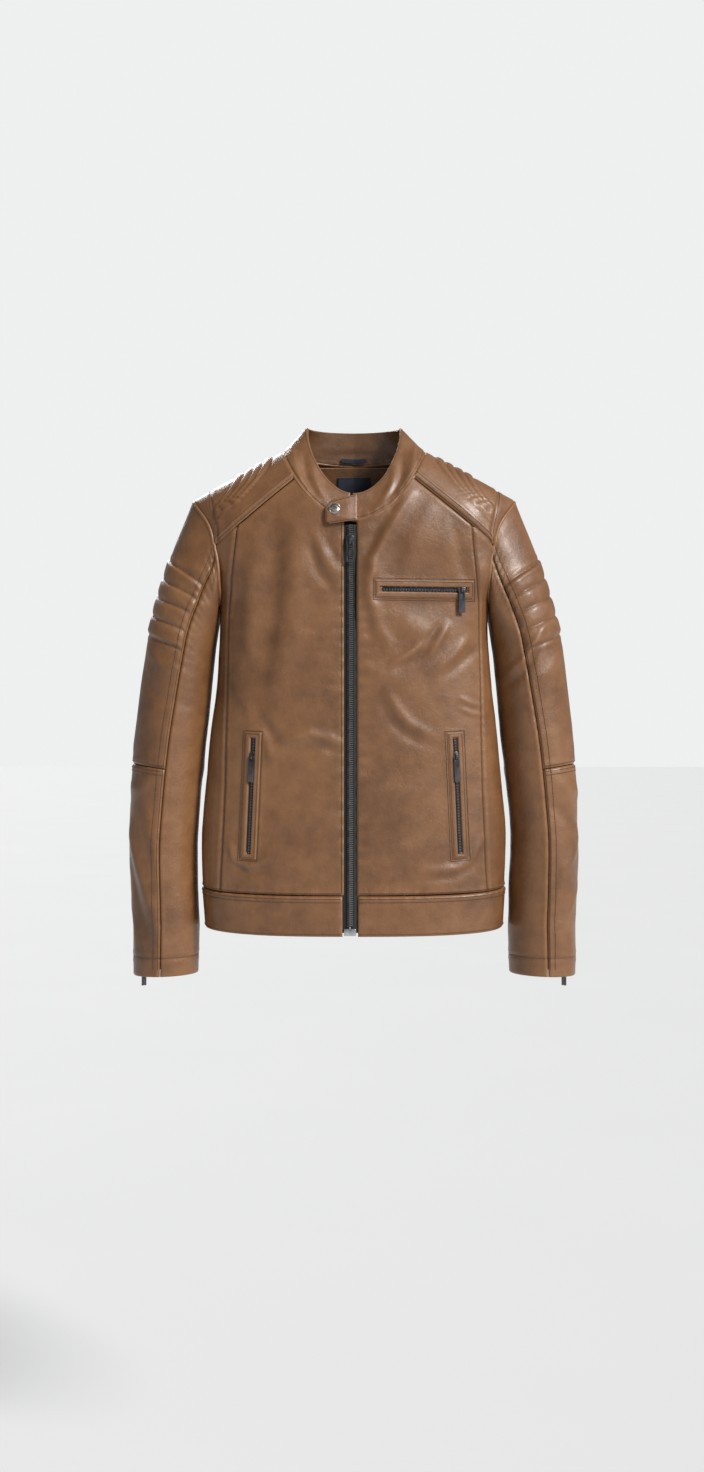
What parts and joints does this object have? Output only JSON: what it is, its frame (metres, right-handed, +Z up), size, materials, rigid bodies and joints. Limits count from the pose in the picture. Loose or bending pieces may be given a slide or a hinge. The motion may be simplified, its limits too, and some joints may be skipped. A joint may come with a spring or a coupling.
{
  "type": "leather riding jacket",
  "caption": "Short leather riding jacket with stand collar and snap tab, front zip, zipped pockets and cuffs, quilted shoulders.",
  "frame": {"origin": "hanging point: middle of the neck opening, at the height of the shoulder seams' neck ends", "axes": "+Z up along the body, -Y out of the front, +X towards the wearer's left"},
  "size_m": [0.6274, 0.164, 0.7863],
  "materials": {
    "leather": "tan-brown semi-gloss cowhide with light grain",
    "facing": "tan-brown leather facing, less shine",
    "lining": "black ribbed lining",
    "label": "plain dark woven label",
    "zip_tape": "black woven zip tape",
    "pocket_cloth": "dark plain-weave pocket cloth",
    "silver_metal": "bare die-cast zip box",
    "antique_nickel": "antique nickel snap",
    "gunmetal": "dark gunmetal zip hardware"
  },
  "bodies": {
    "torso": {"front_panel_left": "leather", "side_panel_left": "leather", "shoulder_yoke_left": "leather", "hem_band_left": "leather", "front_panel_right": "leather", "side_panel_right": "leather", "shoulder_yoke_right": "leather", "hem_band_right": "leather", "back_panel": "leather", "back_yoke": "leather", "hem_band_back": "leather", "chest_pocket_welt": "leather", "chest_pocket_zip": "zip_tape", "chest_pocket_bag": "pocket_cloth", "hand_pocket_left_welt": "leather", "hand_pocket_left_zip": "zip_tape", "hand_pocket_left_bag": "pocket_cloth", "hand_pocket_right_welt": "leather", "hand_pocket_right_zip": "zip_tape", "hand_pocket_right_bag": "pocket_cloth", "collar_outer": "leather", "collar_facing": "facing", "collar_snap_stud": "antique_nickel", "lining_body": "lining", "lining_front_left": "lining", "lining_front_right": "lining", "lining_back": "lining", "neck_facing": "facing", "neck_label": "label", "hanging_loop": "label", "main_zip_teeth_left": "gunmetal", "main_zip_tape_left": "zip_tape", "main_zip_teeth_right": "gunmetal", "main_zip_tape_right": "zip_tape", "main_zip_box": "silver_metal"},
    "sleeve_left": {"sleeve_upper_left": "leather", "sleeve_forearm_left": "leather", "sleeve_under_left": "leather", "sleeve_lining_left": "lining", "cuff_zip_chain_left": "zip_tape"},
    "cuff_zip_left_slider": {"cuff_zip_left_slider": "gunmetal"},
    "cuff_zip_left_pull": {"cuff_zip_left_pull": "gunmetal"},
    "sleeve_right": {"sleeve_upper_right": "leather", "sleeve_forearm_right": "leather", "sleeve_under_right": "leather", "sleeve_lining_right": "lining", "cuff_zip_chain_right": "zip_tape"},
    "cuff_zip_right_slider": {"cuff_zip_right_slider": "gunmetal"},
    "cuff_zip_right_pull": {"cuff_zip_right_pull": "gunmetal"},
    "collar_tab": {"collar_tab": "leather", "collar_snap_cap": "antique_nickel"},
    "main_zip_slider": {"main_zip_slider": "gunmetal"},
    "main_zip_pull": {"main_zip_pull": "gunmetal"},
    "chest_pocket_slider": {"chest_pocket_slider": "gunmetal"},
    "chest_pocket_pull": {"chest_pocket_pull": "gunmetal"},
    "hand_pocket_left_slider": {"hand_pocket_left_slider": "gunmetal"},
    "hand_pocket_left_pull": {"hand_pocket_left_pull": "gunmetal"},
    "hand_pocket_right_slider": {"hand_pocket_right_slider": "gunmetal"},
    "hand_pocket_right_pull": {"hand_pocket_right_pull": "gunmetal"}
  },
  "joints": [
    {"name": "main_zip_slide", "type": "slide", "parent": "torso", "child": "main_zip_slider", "axis": [0, -0.0108, -0.9999], "range_m": [0, 0.512]},
    {"name": "main_zip_pull_swing", "type": "hinge", "parent": "main_zip_slider", "child": "main_zip_pull", "pos_m": [-0.0055, -0.08293, -0.13395], "axis": [-1, 0, 0], "range_deg": [0, 160]},
    {"name": "chest_pocket_slide", "type": "slide", "parent": "torso", "child": "chest_pocket_slider", "axis": [-0.9856, -0.1689, 0], "range_m": [0, 0.1]},
    {"name": "chest_pocket_pull_swing", "type": "hinge", "parent": "chest_pocket_slider", "child": "chest_pocket_pull", "pos_m": [0.14663, -0.06595, -0.1976], "axis": [-0.9856, -0.1689, 0], "range_deg": [0, 160]},
    {"name": "hand_pocket_left_slide", "type": "slide", "parent": "torso", "child": "hand_pocket_left_slider", "axis": [0.0436, -0.011, -0.999], "range_m": [0, 0.12]},
    {"name": "hand_pocket_left_pull_swing", "type": "hinge", "parent": "hand_pocket_left_slider", "child": "hand_pocket_left_pull", "pos_m": [0.13846, -0.07375, -0.42397], "axis": [-0.9646, -0.2607, -0.0392], "range_deg": [0, 160]},
    {"name": "cuff_zip_left_slide", "type": "slide", "parent": "sleeve_left", "child": "cuff_zip_left_slider", "axis": [-0.0005, 0.0416, 0.9991], "range_m": [0, 0.1]},
    {"name": "cuff_zip_left_pull_swing", "type": "hinge", "parent": "cuff_zip_left_slider", "child": "cuff_zip_left_pull", "pos_m": [0.29824, 0.03325, -0.72413], "axis": [0.6844, -0.7284, 0.0307], "range_deg": [0, 160]},
    {"name": "sleeve_left_raise", "type": "hinge", "parent": "torso", "child": "sleeve_left", "pos_m": [0.222, 0, -0.064], "axis": [0, -1, 0], "range_deg": [0, 40]},
    {"name": "hand_pocket_right_slide", "type": "slide", "parent": "torso", "child": "hand_pocket_right_slider", "axis": [-0.0436, -0.011, -0.999], "range_m": [0, 0.12]},
    {"name": "hand_pocket_right_pull_swing", "type": "hinge", "parent": "hand_pocket_right_slider", "child": "hand_pocket_right_pull", "pos_m": [-0.13842, -0.07376, -0.42397], "axis": [-0.9671, 0.2512, 0.0394], "range_deg": [0, 160]},
    {"name": "cuff_zip_right_slide", "type": "slide", "parent": "sleeve_right", "child": "cuff_zip_right_slider", "axis": [0.0005, 0.0416, 0.9991], "range_m": [0, 0.1]},
    {"name": "cuff_zip_right_pull_swing", "type": "hinge", "parent": "cuff_zip_right_slider", "child": "cuff_zip_right_pull", "pos_m": [-0.29824, 0.03325, -0.72413], "axis": [0.6844, 0.7284, -0.0307], "range_deg": [0, 160]},
    {"name": "sleeve_right_raise", "type": "hinge", "parent": "torso", "child": "sleeve_right", "pos_m": [-0.222, 0, -0.064], "axis": [0, 1, 0], "range_deg": [0, 40]},
    {"name": "collar_tab_open", "type": "hinge", "parent": "torso", "child": "collar_tab", "pos_m": [0.0045, -0.0775, -0.09], "axis": [0, 0, 1], "range_deg": [0, 64]}
  ]
}
